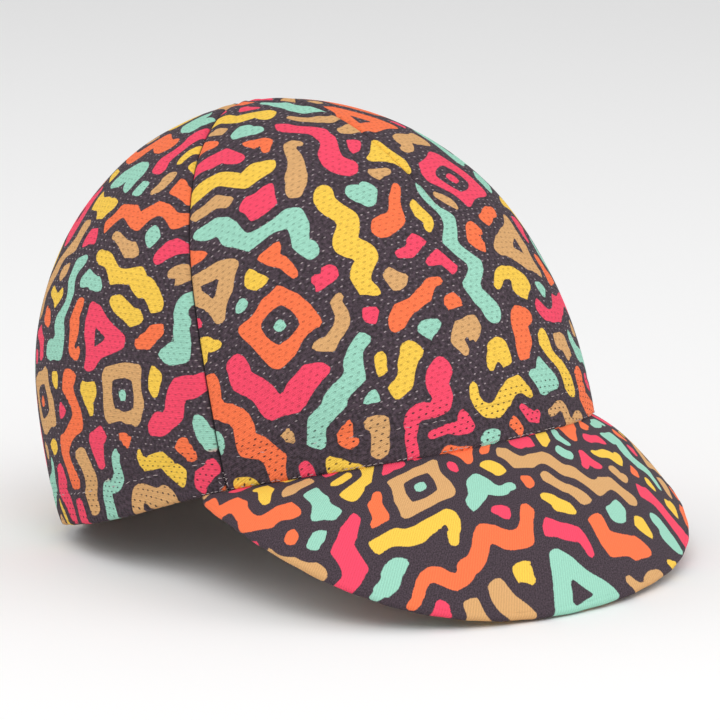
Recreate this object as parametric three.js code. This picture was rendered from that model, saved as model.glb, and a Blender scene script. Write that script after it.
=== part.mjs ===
// A cycling cap: a soft crown of three panels, a folded hem with elastic at the back, and a short drooping peak.
// Millimetres, +Z up, the peak towards -Y and the wearer's right towards -X.
// The cap is drawn on the plane of its hem, then tipped so that it rests on its back hem and the peak's edge.
import * as THREE from "three";
import { mergeVertices } from "three/addons/utils/BufferGeometryUtils.js";

// The head opening: half lengths from the centre of the hem
const HEM_FRONT = 94;
const HEM_BACK = 91;
const HEM_SIDE = 77;
// The hem's line leaves its plane: the front and the back hang a little lower than the sides
const FRONT_DIP = 2;
const BACK_DIP = 8;

// The dome: its height over the hem, how far its top leans back, and three profiles blended round the head
const CROWN_HEIGHT = 124;
const TOP_LEAN = 9;
// fullness 2 is an ellipse and more is squarer; swell is how far the wall stands out over the hem
const PROFILES = {
  front: { fullness: 2.2, swell: 0 },
  side: { fullness: 2.75, swell: 0.06 },
  back: { fullness: 2.35, swell: 0.11 },
};
const SWELL_PLACE = 0.6;
// The plan is squarer than an ellipse by these shares, half way between the middle and the sides
const FRONT_CORNERS = 0.04;
const BACK_CORNERS = 0.045;
// Behind the ears the elastic hem is squarer still, and it sags
const HEM_CORNERS = 0.055;
const HEM_CORNER_FADE = 14;
const SAG = 3.7;
const SAG_DEG = 108;
const SAG_WIDTH_DEG = 25;

// The side seams climb from the hem to the top, where they meet the seam down the middle of the back
const SIDE_SEAM_DEG = 72;

// The cloth
const CLOTH = 1.2;
const HEM_CLOTH = 2.4;
const HEM_HEIGHT = 12;
const GAP = 0.3;
// The elastic gathers the back hem in soft pleats
const PLEATS = 15;
const PLEAT_DEPTH = 0.9;
const PLEAT_RISE = 0.32;

// The peak
const PEAK_END_DEG = 81;
const PEAK_REACH = 23.9;
const PEAK_DROP = 55.8;
const PEAK_SIDE_DROP = 6.2;
const PEAK_SPREAD = 25.7;
const PEAK_FRONT_ROUND = 1.26;
const PEAK_DROP_ROUND = 1.9;
const PEAK_CAMBER = 6.5;
const PEAK_TWIST = 4;
const PEAK_LIFT = 6;
const PEAK_TOP_CLOTH = 1.5;
const PEAK_UNDER_CLOTH = 1.0;
const PEAK_INSET = 1.2;

// At rest: the tip of the whole cap, and how far its soft edges flatten on the surface
const REST_TILT_DEG = 14.3;
const PRESS = 2.3;

// Grid steps
const HALF_PANEL_COLUMNS = 28;
const PANEL_ROWS = 15;
const HEM_ROWS = 2;
const PEAK_COLUMNS = 40;
const PEAK_ROWS = 7;

const rad = THREE.MathUtils.degToRad;
const mix = THREE.MathUtils.lerp;
const SIDE_SEAM = rad(SIDE_SEAM_DEG);
const PEAK_END = rad(PEAK_END_DEG);
const REST_TILT = rad(REST_TILT_DEG);

// How much a direction counts as front, side and back; angle 0 is the front and positive is the wearer's left
function shares(angle) {
  const ahead = Math.cos(angle);
  return { front: Math.max(ahead, 0) ** 2, side: Math.sin(angle) ** 2, back: Math.max(-ahead, 0) ** 2 };
}

function blend(angle, values) {
  const share = shares(angle);
  return share.front * values.front + share.side * values.side + share.back * values.back;
}

function fullness(angle) {
  return blend(angle, {
    front: PROFILES.front.fullness,
    side: PROFILES.side.fullness,
    back: PROFILES.back.fullness,
  });
}

// A point of the dome: fromTop is 0 at the top and 1 at the hem
function domePoint(angle, fromTop) {
  const polar = (fromTop * Math.PI) / 2;
  const height = Math.max(Math.cos(polar), 0) ** (2 / fullness(angle));
  const swell = blend(angle, {
    front: PROFILES.front.swell,
    side: PROFILES.side.swell,
    back: PROFILES.back.swell,
  });
  const ahead = Math.cos(angle);
  const square = ahead > 0 ? FRONT_CORNERS : BACK_CORNERS + HEM_CORNERS * fromTop ** HEM_CORNER_FADE;
  const corner = Math.sin(2 * angle) ** 2 * square;
  const belly = Math.sin(Math.PI * Math.max(1 - fromTop, 0) ** SWELL_PLACE);
  const reach = Math.sin(polar) * (1 + swell * belly) * (1 + corner);
  const turned = Math.acos(THREE.MathUtils.clamp(ahead, -1, 1));
  const sag = SAG * Math.exp(-(((turned - rad(SAG_DEG)) / rad(SAG_WIDTH_DEG)) ** 2));
  const dip = (blend(angle, { front: FRONT_DIP, side: 0, back: BACK_DIP }) + sag) * (1 - height) ** 1.5;
  const depth = ahead > 0 ? HEM_FRONT : HEM_BACK;
  return new THREE.Vector3(
    HEM_SIDE * Math.sin(angle) * reach,
    -depth * ahead * reach + TOP_LEAN * height,
    CROWN_HEIGHT * height - dip,
  );
}

// The pleats of the back hem fade out upwards and towards the sides
function pleat(angle, fromTop) {
  const nearHem = THREE.MathUtils.smoothstep(fromTop, 1 - PLEAT_RISE, 1);
  const behind = shares(angle).back;
  return PLEAT_DEPTH * nearHem * behind * Math.cos(PLEATS * (angle - Math.PI) * 2);
}

// The crown's outer surface over a flat disc: the top at its centre, the hem at radius 1, the front towards -Y
function crown(x, y) {
  const angle = Math.atan2(x, -y);
  const fromTop = Math.min(Math.hypot(x, y), 1);
  const point = domePoint(angle, fromTop);
  const out = new THREE.Vector3(point.x, point.y, 0);
  if (out.length() > 1) point.addScaledVector(out.normalize(), pleat(angle, fromTop));
  return point;
}

function crownNormal(x, y) {
  const step = 0.004;
  const inside = Math.min(1, (1 - step) / Math.max(Math.hypot(x, y), step));
  const [u, v] = [x * inside, y * inside];
  const across = crown(u + step, v).sub(crown(u - step, v));
  const along = crown(u, v + step).sub(crown(u, v - step));
  return across.cross(along).normalize();
}

// How far from the top the hem band's upper edge lies, as a share, so that the band is equally high all round
function bandShare(angle, rise) {
  return (2 / Math.PI) * Math.acos((rise / CROWN_HEIGHT) ** (fullness(angle) / 2));
}

function onDisc(angle, share) {
  return [share * Math.sin(angle), -share * Math.cos(angle)];
}

// What rests is pressed flat: a point below the surface is lifted straight up to it
const floorNormal = new THREE.Vector3(0, -Math.sin(REST_TILT), Math.cos(REST_TILT));
const backFoot = crown(0, 1);
const floorHeight = backFoot.dot(floorNormal) + PRESS;

function rest(point) {
  const below = floorHeight - point.dot(floorNormal);
  return below > 0 ? point.addScaledVector(floorNormal, below) : point;
}

// A closed wall: an outer grid of points, the same points moved inwards, and the four edges between them
function wall(columns, rows, place, from, to) {
  const points = [];
  for (const depth of [from, to])
    for (let row = 0; row <= rows; row++)
      for (let column = 0; column <= columns; column++) {
        const { point, normal } = place(column / columns, row / rows);
        points.push(rest(point.clone().addScaledVector(normal, -depth)));
      }
  const layer = (columns + 1) * (rows + 1);
  const at = (column, row, side) => side * layer + row * (columns + 1) + column;
  const faces = [];
  const quad = (a, b, c, d) => faces.push([a, b, c], [a, c, d]);
  for (let row = 0; row < rows; row++)
    for (let column = 0; column < columns; column++) {
      const [c, r] = [column + 1, row + 1];
      quad(at(column, row, 0), at(c, row, 0), at(c, r, 0), at(column, r, 0));
      quad(at(column, row, 1), at(column, r, 1), at(c, r, 1), at(c, row, 1));
    }
  for (let column = 0; column < columns; column++)
    for (const row of [0, rows]) {
      const [a, b] = row ? [column + 1, column] : [column, column + 1];
      quad(at(a, row, 0), at(a, row, 1), at(b, row, 1), at(b, row, 0));
    }
  for (let row = 0; row < rows; row++)
    for (const column of [0, columns]) {
      const [a, b] = column ? [row, row + 1] : [row + 1, row];
      quad(at(column, a, 0), at(column, a, 1), at(column, b, 1), at(column, b, 0));
    }
  return closed(points, faces);
}

// Merges points that coincide, drops the faces that this flattens, and turns the faces outwards
function closed(points, faces) {
  const raw = new THREE.BufferGeometry().setFromPoints(points);
  raw.setIndex(faces.flat());
  const merged = mergeVertices(raw, 1e-3);
  const index = merged.index.array;
  const place = merged.getAttribute("position");
  const corner = (k) => new THREE.Vector3().fromBufferAttribute(place, k);
  const kept = [];
  let volume = 0;
  for (let i = 0; i < index.length; i += 3) {
    const [a, b, c] = [index[i], index[i + 1], index[i + 2]];
    if (a === b || b === c || c === a) continue;
    kept.push([a, b, c]);
    volume += corner(a).dot(corner(b).cross(corner(c)));
  }
  const outward = volume > 0 ? kept : kept.map(([a, b, c]) => [a, c, b]);
  merged.setIndex(outward.flat());
  merged.computeVertexNormals();
  return merged;
}

// The two side seams on the disc as one line, from the right foot at -1 over the top at 0 to the left foot at 1
function seam(along, footAngle, top) {
  const [footX, footY] = onDisc(footAngle, bandShare(footAngle, HEM_HEIGHT + GAP));
  return [footX * along, mix(top, footY, Math.abs(along))];
}

const HALF_GAP = GAP / 2 / HEM_SIDE;

function onCrown([x, y]) {
  return { point: crown(x, y), normal: crownNormal(x, y) };
}

function between([x0, y0], [x1, y1], share) {
  return [mix(x0, x1, share), mix(y0, y1, share)];
}

function frontPanel() {
  const foot = SIDE_SEAM - HALF_GAP;
  const place = (u, v) => {
    const along = 2 * u - 1;
    const angle = along * foot;
    const hem = onDisc(angle, bandShare(angle, HEM_HEIGHT + GAP));
    return onCrown(between(hem, seam(along, foot, -HALF_GAP), v));
  };
  return wall(2 * HALF_PANEL_COLUMNS, PANEL_ROWS, place, 0, CLOTH);
}

function backPanel(side) {
  const foot = SIDE_SEAM + HALF_GAP;
  const place = (u, v) => {
    const angle = mix(foot, Math.PI, u);
    const hem = onDisc(angle, bandShare(angle, HEM_HEIGHT + GAP));
    const [x, y] = between(seam(1 - u, foot, HALF_GAP), hem, v);
    return onCrown([side * Math.max(x, HALF_GAP * u), y]);
  };
  return wall(HALF_PANEL_COLUMNS, PANEL_ROWS, place, 0, CLOTH);
}

// The hem band, folded double, from one angle to another
function hemBand(from, to, columns) {
  const place = (u, v) => {
    const angle = mix(from, to, u);
    return onCrown(onDisc(angle, mix(1, bandShare(angle, HEM_HEIGHT), v)));
  };
  return wall(columns, HEM_ROWS, place, 0, HEM_CLOTH);
}

// The peak's upper surface: across runs from the right end at -1 to the left end at 1, out from the hem to the edge
function peakPoint(across, out) {
  const angle = across * PEAK_END;
  const hem = domePoint(angle, 1);
  const inward = new THREE.Vector3(hem.x, hem.y, 0).normalize();
  hem.addScaledVector(inward, -PEAK_INSET);
  hem.z -= GAP;
  const end = domePoint(PEAK_END, 1);
  const turn = (across * Math.PI) / 2;
  const middle = Math.max(Math.cos(turn), 0);
  const lean = Math.sin(turn) * middle;
  const reach = HEM_FRONT + PEAK_REACH + end.y;
  const edge = new THREE.Vector3(
    (end.x - PEAK_INSET) * Math.sin(turn) + PEAK_SPREAD * Math.sin(2 * turn),
    end.y - reach * middle ** PEAK_FRONT_ROUND + PEAK_TWIST * lean,
    end.z - GAP - PEAK_DROP * middle ** PEAK_DROP_ROUND - PEAK_SIDE_DROP * Math.sin(2 * turn) ** 2 + PEAK_LIFT * lean,
  );
  const point = hem.lerp(edge, out);
  point.z += PEAK_CAMBER * Math.sin(Math.PI * out) * middle;
  return point;
}

function onPeak(across, out) {
  const step = 0.01;
  const [a, o] = [THREE.MathUtils.clamp(across, -0.97, 0.97), THREE.MathUtils.clamp(out, step, 1 - step)];
  const sideways = peakPoint(a + step, o).sub(peakPoint(a - step, o));
  const outward = peakPoint(a, o + step).sub(peakPoint(a, o - step));
  return { point: peakPoint(across, out), normal: outward.cross(sideways).normalize() };
}

function peakLayer(from, to) {
  return wall(PEAK_COLUMNS, PEAK_ROWS, (u, v) => onPeak(2 * u - 1, v), from, to);
}

// Printed knit, and the smoother twill of the peak
const knit = { color: 0x4a3f45, roughness: 0.9, metalness: 0 };
const twill = { color: 0x5a4a4e, roughness: 0.85, metalness: 0 };

function piece(name, geometry, finish) {
  const mesh = new THREE.Mesh(geometry, new THREE.MeshStandardMaterial(finish));
  mesh.name = name;
  return mesh;
}

const peakUnderTop = PEAK_TOP_CLOTH + GAP;
const frontEnd = SIDE_SEAM - HALF_GAP;
const backStart = SIDE_SEAM + HALF_GAP;
const cap = new THREE.Group();
cap.add(
  piece("front_panel", frontPanel(), knit),
  piece("back_panel_left", backPanel(1), knit),
  piece("back_panel_right", backPanel(-1), knit),
  piece("front_hem", hemBand(-frontEnd, frontEnd, 2 * HALF_PANEL_COLUMNS), knit),
  piece("elastic_back_hem", hemBand(backStart, 2 * Math.PI - backStart, 2 * HALF_PANEL_COLUMNS), knit),
  piece("peak_top", peakLayer(0, PEAK_TOP_CLOTH), twill),
  piece("peak_underside", peakLayer(peakUnderTop, peakUnderTop + PEAK_UNDER_CLOTH), twill),
);

// Tipped to rest, and moved so that the origin lies under the middle of its outline
cap.rotation.x = -REST_TILT;
const stand = new THREE.Group();
stand.add(cap);
const outline = new THREE.Box3().setFromObject(stand, true);
stand.position.set(0, -(outline.min.y + outline.max.y) / 2, -outline.min.z);

export default stand;
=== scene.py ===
# %% [markdown]
# # A cycling cap
# A cycling cap is a soft crown of three panels, a hem folded double that elastic gathers at the back,
# and a short peak of two cloths over a thin filling. Here each of them is a cloth of its own, cut as a
# flat grid and then bent over the form that the CAD model has. The script starts with that model,
# loaded as a fixed frame.

import math

import bpy
import numpy as np
from mathutils import Matrix, Vector

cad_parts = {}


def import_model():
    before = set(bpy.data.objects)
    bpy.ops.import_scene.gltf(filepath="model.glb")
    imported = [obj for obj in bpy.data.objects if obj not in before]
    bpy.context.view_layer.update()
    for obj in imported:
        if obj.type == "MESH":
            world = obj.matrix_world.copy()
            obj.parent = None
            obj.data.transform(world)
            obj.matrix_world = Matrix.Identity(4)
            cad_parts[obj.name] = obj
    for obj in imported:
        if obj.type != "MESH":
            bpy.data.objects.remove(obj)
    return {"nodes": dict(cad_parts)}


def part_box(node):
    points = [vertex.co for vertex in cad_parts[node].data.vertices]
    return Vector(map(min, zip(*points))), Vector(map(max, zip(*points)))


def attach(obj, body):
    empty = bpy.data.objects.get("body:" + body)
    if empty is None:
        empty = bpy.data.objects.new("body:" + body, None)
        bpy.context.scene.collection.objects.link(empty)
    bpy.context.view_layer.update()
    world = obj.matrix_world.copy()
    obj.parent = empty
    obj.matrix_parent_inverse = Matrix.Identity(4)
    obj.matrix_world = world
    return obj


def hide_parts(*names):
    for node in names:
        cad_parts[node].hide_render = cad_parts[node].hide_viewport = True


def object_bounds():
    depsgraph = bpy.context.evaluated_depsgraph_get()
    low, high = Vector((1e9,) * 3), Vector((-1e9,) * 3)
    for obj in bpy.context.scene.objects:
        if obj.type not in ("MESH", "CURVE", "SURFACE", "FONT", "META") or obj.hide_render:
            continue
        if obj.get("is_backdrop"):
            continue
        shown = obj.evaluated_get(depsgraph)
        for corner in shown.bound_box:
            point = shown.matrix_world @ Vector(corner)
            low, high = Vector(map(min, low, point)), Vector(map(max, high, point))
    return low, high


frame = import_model()
cad_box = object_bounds()
print("nodes:", ", ".join(sorted(frame["nodes"])))

# %% [markdown]
# ## The form under the cloth
# All cloth lies on one dome, so the dome is a formula: an angle round the head (0 is the front,
# positive the wearer's left) and a share from the top (0) to the hem (1) give a point. Lengths are
# millimetres on the plane of the hem, as a hatter measures a block, and a last step tips the cap as it
# rests and turns them to metres.

# %% The sizes of the crown
HEM_FRONT = 94
HEM_BACK = 91
HEM_SIDE = 77
FRONT_DIP = 2
BACK_DIP = 8
DIP_FADE = 1.5
CROWN_HEIGHT = 124
TOP_LEAN = 9
FULLNESS = {"front": 2.2, "side": 2.75, "back": 2.35}
SWELL = {"front": 0, "side": 0.06, "back": 0.11}
SWELL_PLACE = 0.6
FRONT_CORNERS = 0.04
BACK_CORNERS = 0.045
HEM_CORNERS = 0.055
HEM_CORNER_FADE = 14
SAG = 3.7
SAG_PLACE = math.radians(108)
SAG_WIDTH = math.radians(25)
SIDE_SEAM = math.radians(72)
SEAM_ROUND_BACK = 2 * math.pi - SIDE_SEAM
REST_TILT = math.radians(14.3)
PRESS = 2.3
PLEAT_DEPTH = 0.9
HEM_HEIGHT = 12


def blend(angle, values):
    """A value for each direction, from its values at the front, the side and the back."""
    ahead = np.cos(angle)
    front = np.maximum(ahead, 0) ** 2
    back = np.maximum(-ahead, 0) ** 2
    return front * values["front"] + np.sin(angle) ** 2 * values["side"] + back * values["back"]


def dome(angle, share):
    """Points of the bare dome, in millimetres on the plane of the hem."""
    angle, share = np.broadcast_arrays(np.asarray(angle, float), np.asarray(share, float))
    polar = share * math.pi / 2
    height = np.maximum(np.cos(polar), 0) ** (2 / blend(angle, FULLNESS))
    ahead = np.cos(angle)
    back_corners = BACK_CORNERS + HEM_CORNERS * share**HEM_CORNER_FADE
    square = np.where(ahead > 0, FRONT_CORNERS, back_corners)
    corner = np.sin(2 * angle) ** 2 * square
    belly = np.sin(math.pi * np.maximum(1 - share, 0) ** SWELL_PLACE)
    reach = np.sin(polar) * (1 + blend(angle, SWELL) * belly) * (1 + corner)
    sag = SAG * np.exp(-(((np.arccos(np.clip(ahead, -1, 1)) - SAG_PLACE) / SAG_WIDTH) ** 2))
    dip = (blend(angle, {"front": FRONT_DIP, "side": 0, "back": BACK_DIP}) + sag) * (1 - height) ** DIP_FADE
    depth = np.where(ahead > 0, HEM_FRONT, HEM_BACK)
    x = HEM_SIDE * np.sin(angle) * reach
    y = -depth * ahead * reach + TOP_LEAN * height
    return np.stack([x, y, CROWN_HEIGHT * height - dip], axis=-1)


def dome_normal(angle, share):
    """The outward direction of the dome at each point."""
    step = 0.004
    inner = np.clip(share, 2 * step, 1 - 2 * step)
    round_it = dome(angle + step, inner) - dome(angle - step, inner)
    down_it = dome(angle, inner + step) - dome(angle, inner - step)
    normal = np.cross(down_it, round_it)
    return normal / np.linalg.norm(normal, axis=-1, keepdims=True)


def share_at(angle, rise):
    """The share from the top at a height over the hem."""
    return 2 / math.pi * np.arccos(np.clip(rise / CROWN_HEIGHT, 0, 1) ** (blend(angle, FULLNESS) / 2))


def rise_at(angle, share):
    """The height over the hem at a share from the top."""
    return CROWN_HEIGHT * np.maximum(np.cos(share * math.pi / 2), 0) ** (2 / blend(angle, FULLNESS))


# %% The way the cap rests
back_foot = dome(math.pi, 1.0)
back_reach = back_foot[1] + PLEAT_DEPTH
floor_height = PRESS - back_reach * math.sin(REST_TILT) + back_foot[2] * math.cos(REST_TILT)


def tip(points):
    """Tips points of the hem's plane to the way the cap rests, in millimetres over the floor."""
    x, y, z = np.moveaxis(points, -1, 0)
    back = y * math.cos(REST_TILT) + z * math.sin(REST_TILT)
    up = z * math.cos(REST_TILT) - y * math.sin(REST_TILT) - floor_height
    return np.stack([x, back, up], axis=-1)


back_column = tip(dome(math.pi, np.linspace(0, 1, 200)))
shift_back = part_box("back_panel_left")[1][1] * 1000 - back_column[:, 1].max()


def world(points):
    """Points in metres, in the frame of the CAD model."""
    return (tip(points) + np.array([0, shift_back, 0])) / 1000


print("the tipped cap moves %.2f mm back to its origin" % shift_back)

# %% [markdown]
# ## Camera, floor and light
# The photograph looks at the wearer's right side and at the front, from a little above. The lens is
# long, so the near and the far side are almost equally large. The camera was found with the cap tipped
# slightly more than it rests here, so the camera is turned by the difference. The light is soft and
# comes from all sides.

# %% Camera
IMAGE_PIXELS = 720
SENSOR_MM = 36
CAMERA_AZIMUTH = math.radians(-47)
CAMERA_ELEVATION = math.radians(10.585)
CAMERA_DISTANCE = 1.3
PIXELS_PER_MM = 2.984
AIM_OVER_HEM = 0.06
AIM_PIXEL = (330.44, 284.64)
PHOTO_TILT = math.radians(15.26)

away = Vector((
    math.sin(CAMERA_AZIMUTH) * math.cos(CAMERA_ELEVATION),
    -math.cos(CAMERA_AZIMUTH) * math.cos(CAMERA_ELEVATION),
    math.sin(CAMERA_ELEVATION),
))
to_rest = Matrix.Translation((0, shift_back / 1000, -floor_height / 1000)) @ Matrix.Rotation(
    PHOTO_TILT - REST_TILT, 4, "X"
)
looking = away.to_track_quat("Z", "Y").to_matrix().to_4x4()
camera_place = Matrix.Translation(Vector((0, 0, AIM_OVER_HEM)) + away * CAMERA_DISTANCE) @ looking

bpy.ops.object.camera_add()
camera = bpy.context.object
camera.name = "photo_camera"
camera.matrix_world = to_rest @ camera_place
camera.data.sensor_width = SENSOR_MM
camera.data.lens = SENSOR_MM * PIXELS_PER_MM * CAMERA_DISTANCE * 1000 / IMAGE_PIXELS
camera.data.shift_x = (IMAGE_PIXELS / 2 - AIM_PIXEL[0]) / IMAGE_PIXELS
camera.data.shift_y = (AIM_PIXEL[1] - IMAGE_PIXELS / 2) / IMAGE_PIXELS
camera.data.clip_end = 20
bpy.context.scene.camera = camera
print("lens %.0f mm, shift %.3f %.3f" % (camera.data.lens, camera.data.shift_x, camera.data.shift_y))

# %% Floor and light
bpy.ops.mesh.primitive_plane_add(size=12)
floor = bpy.context.object
floor.name = "floor"
floor_paint = bpy.data.materials.new("floor_paint")
floor_paint.use_nodes = True
floor_paint.node_tree.nodes["Principled BSDF"].inputs["Base Color"].default_value = (0.93, 0.93, 0.93, 1)
floor_paint.node_tree.nodes["Principled BSDF"].inputs["Roughness"].default_value = 0.95
floor.data.materials.append(floor_paint)
floor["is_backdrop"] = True

sky = bpy.data.worlds.new("studio")
sky.use_nodes = True
sky.node_tree.nodes["Background"].inputs["Color"].default_value = (1, 1, 1, 1)
sky.node_tree.nodes["Background"].inputs["Strength"].default_value = 0.7
bpy.context.scene.world = sky
bpy.context.scene.view_settings.view_transform = "Standard"

MIDDLE_HEIGHT = 0.07
LAMPS = {
    "key": {"place": (-0.9, -0.9, 1.5), "size": 1.2, "watts": 12.5},
    "fill": {"place": (0.9, -1.3, 0.9), "size": 1.4, "watts": 5.5},
    "back": {"place": (-0.6, 1.3, 1.2), "size": 1.2, "watts": 5},
}
for lamp_name, lamp in LAMPS.items():
    bpy.ops.object.light_add(type="AREA", location=lamp["place"])
    light = bpy.context.object
    light.name = lamp_name + "_light"
    light.data.size = lamp["size"]
    light.data.energy = lamp["watts"]
    towards_cap = Vector((0, 0, MIDDLE_HEIGHT)) - Vector(lamp["place"])
    light.rotation_euler = towards_cap.to_track_quat("-Z", "Y").to_euler()
print("lights:", ", ".join(LAMPS))

# %% [markdown]
# ## Cutting cloth
# Every cloth starts as a plain grid, Blender's flat sheet of squares. Its corners get a place from a
# formula of two numbers: across the cloth and along it, each from 0 to 1. A grid keeps its corners in
# rows, so the formula can work on all of them at once. A Solidify modifier then gives the cloth its
# thickness.


# %% A grid of cloth
def grid_numbers(columns, rows):
    """Across and along for each corner of a grid, row after row as Blender keeps them."""
    across, along = np.meshgrid(np.linspace(0, 1, columns + 1), np.linspace(0, 1, rows + 1))
    return across.ravel(), along.ravel()


def add_grid(name, columns, rows):
    """A flat grid of squares, one object of its own."""
    bpy.ops.object.select_all(action="DESELECT")
    bpy.ops.mesh.primitive_grid_add(x_subdivisions=columns, y_subdivisions=rows, size=1)
    piece = bpy.context.object
    piece.name = name
    piece.data.name = name
    return piece


def drape(piece, points):
    """Moves the corners of a grid to points in metres."""
    piece.data.vertices.foreach_set("co", np.asarray(points, dtype=np.float32).ravel())
    piece.data.update()


def corners_of(mesh):
    """Which corner of the grid belongs to each corner of each face."""
    corner_of = np.empty(len(mesh.loops), dtype=np.int32)
    mesh.loops.foreach_get("vertex_index", corner_of)
    return corner_of


def lay_flat_map(piece, flat):
    """Gives a grid the map of its flat cut, in millimetres."""
    layer = piece.data.uv_layers[0]
    layer.data.foreach_set("uv", np.asarray(flat, dtype=np.float32)[corners_of(piece.data)].ravel())
    layer.name = "flat"


def read_map(layer):
    read = np.empty(len(layer.data) * 2, dtype=np.float32)
    layer.data.foreach_get("uv", read)
    return read.reshape(-1, 2)


def area_of(mesh):
    return sum(f.area for f in mesh.polygons)


def thicken(piece, millimetres):
    """Gives a cloth its thickness; its inner side takes the second finish."""
    solid = piece.modifiers.new("thickness", "SOLIDIFY")
    solid.thickness = millimetres / 1000
    solid.offset = 0
    solid.use_even_offset = False
    solid.material_offset = 1
    solid.material_offset_rim = 0
    bpy.ops.object.select_all(action="DESELECT")
    bpy.context.view_layer.objects.active = piece
    piece.select_set(True)
    bpy.ops.object.modifier_apply(modifier=solid.name)


def face_outwards(piece, inside_point):
    """Turns the faces of an open cloth away from a point inside the cap."""
    mesh = piece.data
    leaning = sum((f.center - inside_point).dot(f.normal) * f.area for f in mesh.polygons)
    if leaning < 0:
        mesh.flip_normals()


def flatten_on_floor(piece):
    """Cloth that lies on the floor is flat there."""
    points = np.empty(len(piece.data.vertices) * 3, dtype=np.float32)
    piece.data.vertices.foreach_get("co", points)
    points = points.reshape(-1, 3)
    points[:, 2] = np.maximum(points[:, 2], 0)
    drape(piece, points)


head_centre = Vector((0, shift_back / 1000, MIDDLE_HEIGHT))

# %% [markdown]
# ## The paper pattern
# A dome can't be unrolled, so a cap maker cuts panels that nearly lie flat. Blender's unwrap does the
# same sum: with the minimum stretch method it flattens a coarse copy of a panel with as little stretch
# as it can. The flat map is kept in millimetres, and both the print and the knit are then drawn on it,
# as on real cloth. The hem is the lower end of the same cut, so the print runs on over the crease into
# the hem.

# %% Flatten one panel
PATTERN_COLUMNS = 40
PATTERN_ROWS = 26
PATTERN_TOP = 0.03


def flat_pattern(first_angle, last_angle):
    """The flat cut of the panel between two angles, as a table over angle and share from the top."""
    across, along = grid_numbers(PATTERN_COLUMNS, PATTERN_ROWS)
    angle = first_angle + (last_angle - first_angle) * across
    share = 1 + (PATTERN_TOP - 1) * along
    paper = add_grid("paper_pattern", PATTERN_COLUMNS, PATTERN_ROWS)
    drape(paper, dome(angle, share) / 1000)
    bpy.ops.object.mode_set(mode="EDIT")
    bpy.ops.mesh.select_all(action="SELECT")
    bpy.ops.uv.unwrap(method="MINIMUM_STRETCH", margin=0)
    bpy.ops.object.mode_set(mode="OBJECT")
    mesh = paper.data
    flat = np.empty((len(mesh.vertices), 2))
    flat[corners_of(mesh)] = read_map(mesh.uv_layers.active)
    table = flat.reshape(PATTERN_ROWS + 1, PATTERN_COLUMNS + 1, 2)
    real_area = area_of(mesh) * 1e6
    side_a = table[1:, :-1] - table[:-1, :-1]
    side_b = table[:-1, 1:] - table[:-1, :-1]
    signed = side_b[..., 0] * side_a[..., 1] - side_b[..., 1] * side_a[..., 0]
    if signed.sum() < 0:
        table[..., 0] *= -1
    table *= math.sqrt(real_area / abs(signed.sum()))
    middle = PATTERN_COLUMNS // 2
    upwards = table[-1, middle] - table[0, middle]
    turn = math.pi / 2 - math.atan2(upwards[1], upwards[0])
    spin = np.array([[math.cos(turn), -math.sin(turn)], [math.sin(turn), math.cos(turn)]])
    table = (table - table[0, middle]) @ spin.T
    bpy.data.objects.remove(paper)
    return {"first": first_angle, "last": last_angle, "table": table, "area": real_area}


def on_pattern(pattern, angle, share):
    """The place on the flat cut, in millimetres, for points of the dome."""
    table = pattern["table"]
    column = (angle - pattern["first"]) / (pattern["last"] - pattern["first"]) * PATTERN_COLUMNS
    row = (1 - share) / (1 - PATTERN_TOP) * PATTERN_ROWS
    c = np.clip(np.floor(column), 0, PATTERN_COLUMNS - 1).astype(int)
    r = np.clip(np.floor(row), 0, PATTERN_ROWS - 1).astype(int)
    s = (column - c)[:, None]
    t = (row - r)[:, None]
    low = table[r, c] * (1 - s) + table[r, c + 1] * s
    high = table[r + 1, c] * (1 - s) + table[r + 1, c + 1] * s
    return low * (1 - t) + high * t


PATTERNS = {
    "front": flat_pattern(-SIDE_SEAM, SIDE_SEAM),
    "back_left": flat_pattern(SIDE_SEAM, math.pi),
    "back_right": flat_pattern(math.pi, SEAM_ROUND_BACK),
}
for pattern_name, pattern in PATTERNS.items():
    width, length = np.ptp(pattern["table"].reshape(-1, 2), axis=0)
    print("%s: cut %.0f x %.0f mm, %.0f cm2" % (pattern_name, width, length, pattern["area"] / 100))

# %% [markdown]
# ## The print
# The cloth is printed all over with fat winding strokes, drops, rings and triangles on a dark ground,
# all about as far apart. They are laid one by one, each where the most room is left, and a stroke grows
# for as long as there is room ahead. Every shape then swells to its full width, or until only a dark
# gap is left between it and the next one. What is kept at each corner of a cloth is the distance to the
# outline and the colour of the nearest shape. The colour only changes in the gap, where it doesn't
# show.

# %% Colours and sizes of the print
GROUND_DARK = (0.034, 0.025, 0.030)
GROUND_LIGHT = (0.094, 0.064, 0.083)
DYES = {
    "mint": (0.345, 0.69, 0.54),
    "orange": (1.0, 0.195, 0.072),
    "coral": (0.955, 0.072, 0.144),
    "yellow": (0.956, 0.612, 0.080),
    "tan": (0.72, 0.405, 0.168),
}
STROKE_SPACING = 12.6
STROKE_HALF_WIDTH = 4.7
STROKE_STEP = 2.0
LEAST_ROOM = 6.9
PRINT_GAP = 3.3
EDGE_ROUND = 1.2
PAST_EDGE = 10
FAR = 60
KEPT_DISTANCE = 4
ROOM_GRID = 2.5
LOOP_ROOM = 15
LOOP_RADIUS = 10.5
RING_RADIUS = 7
RING_CORNERS = 12
LOOP_CORNERS = (3, 3, 4, RING_CORNERS)
LOOPS_UNDER = 0.3
DROPS_OVER = 0.95
POINTED_UNDER = 0.5
WIDTHS = (0.85, 1.05)
LOOP_WIDTH = 0.74
DROP_WIDTH = 1.2
BROAD_END = 1.05
POINTED_END = 0.35
BLUNT_END = 0.9
SWING = (0.6, 1.1)
SWING_PITCH = (16, 26)
ARM_REACH = (14, 38)
WAYS_ROUND = (0, 0.4, -0.4, 0.8, -0.8)
TURN_KEPT = 0.5
ROOM_AHEAD = 0.88
ROOM_AT_START = 0.9
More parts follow.
